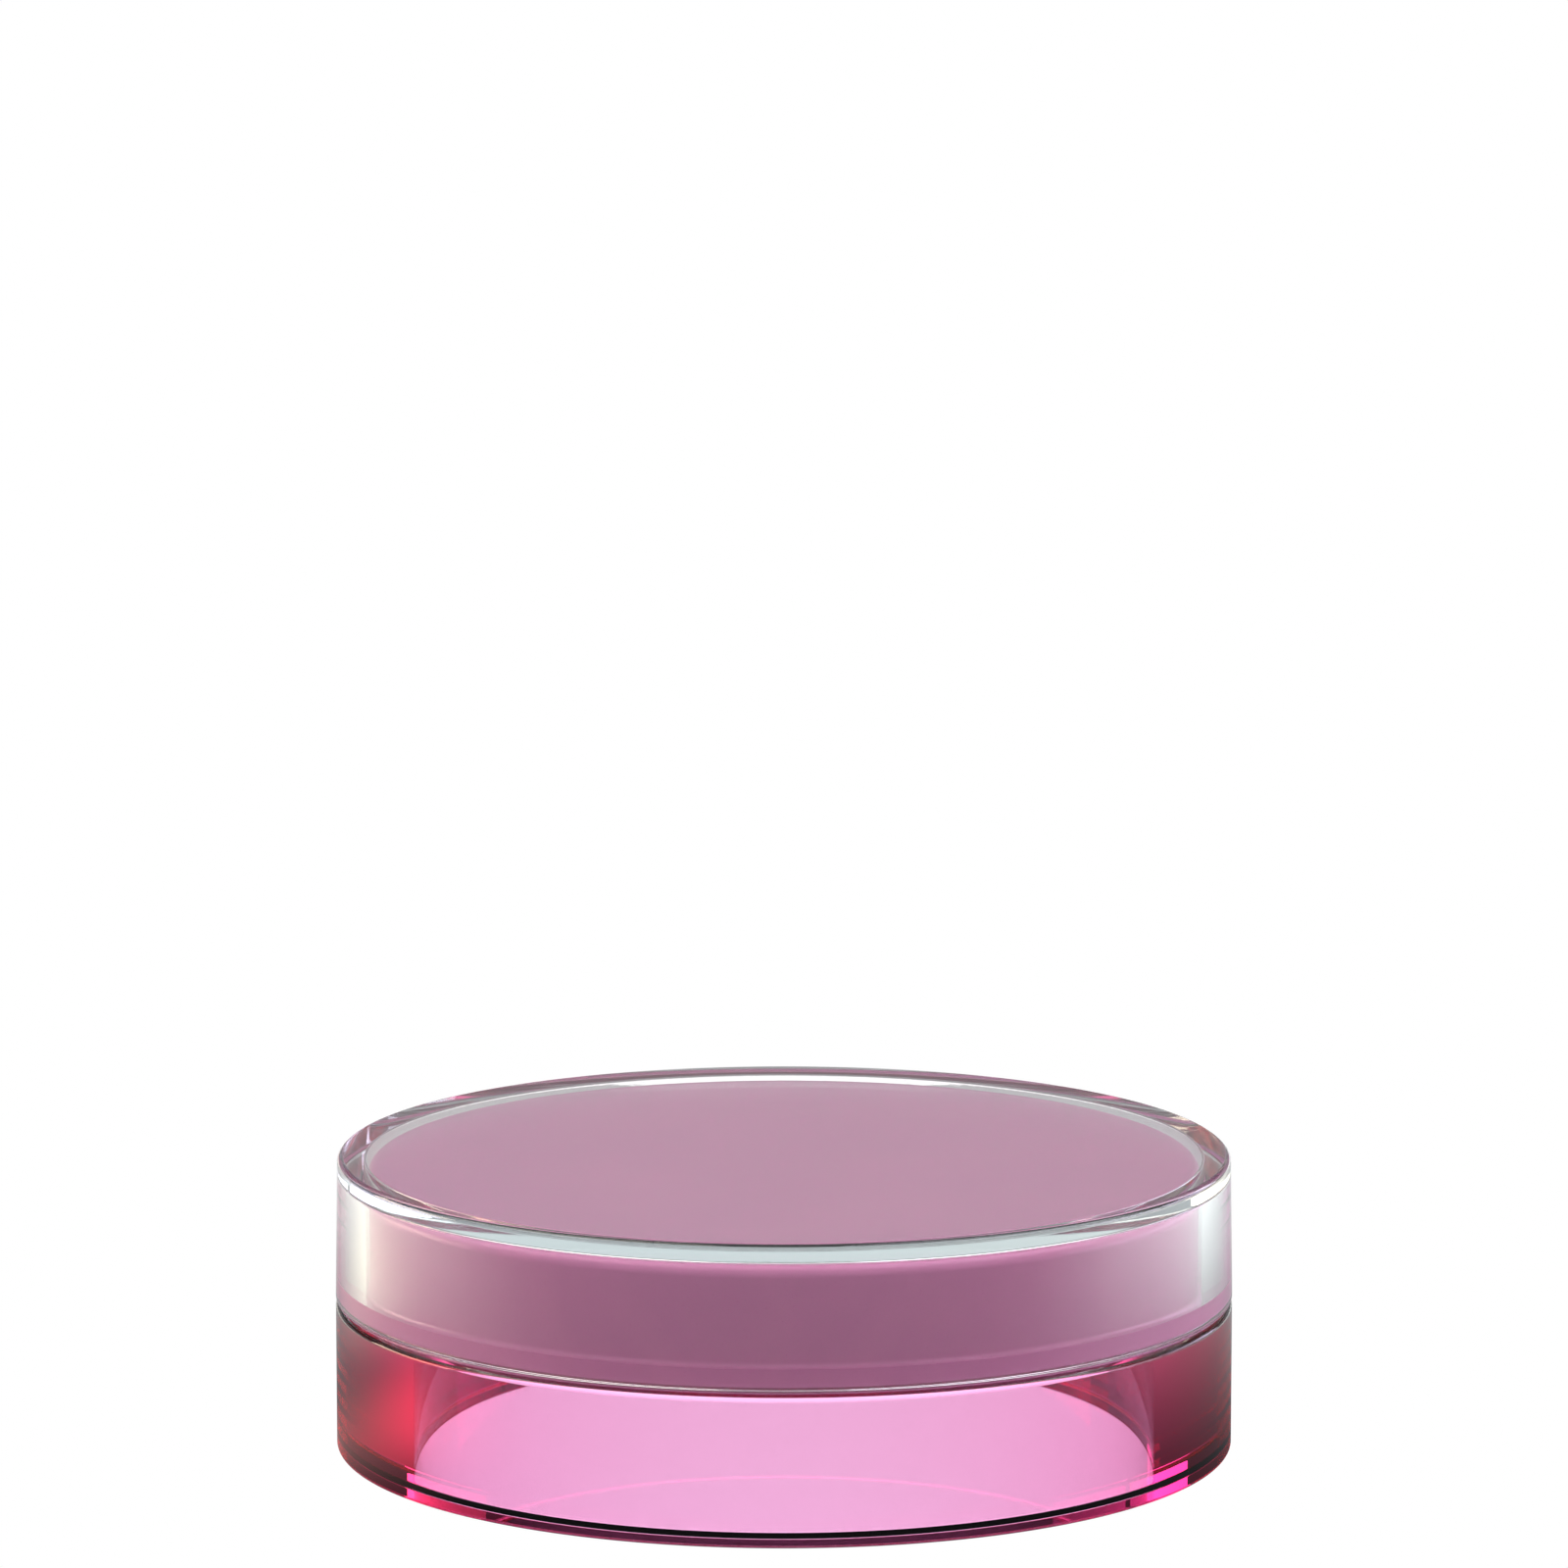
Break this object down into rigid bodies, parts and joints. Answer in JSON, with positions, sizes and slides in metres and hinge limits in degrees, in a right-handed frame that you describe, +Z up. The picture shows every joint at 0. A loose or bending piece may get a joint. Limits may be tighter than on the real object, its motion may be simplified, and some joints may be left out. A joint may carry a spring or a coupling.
{
  "type": "dappen dish",
  "caption": "Low round lidded dish: a thick-walled see-through cup under a clear cap with an opaque inner lid and a soft plug that drops into the cup's mouth.",
  "frame": {"origin": "centre of the cup's underside, on the surface that the dish stands on", "axes": "+Z up along the dish's axis of revolution; the dish is round, so +X and +Y are free"},
  "size_m": [0.06, 0.06, 0.0197],
  "materials": {
    "magenta_acrylic": "polished see-through magenta acrylic",
    "clear_acrylic": "polished clear acrylic",
    "mauve_plastic": "satin moulded mauve plastic",
    "mauve_silicone": "soft matt mauve silicone"
  },
  "bodies": {
    "cup": {"cup": "magenta_acrylic"},
    "lid": {"lid_shell": "clear_acrylic", "lid_insert": "mauve_plastic", "seal_plug": "mauve_silicone"}
  },
  "joints": [
    {"name": "lid_lift", "type": "slide", "parent": "cup", "child": "lid", "axis": [0, 0, 1], "range_m": [0, 0.03]}
  ]
}
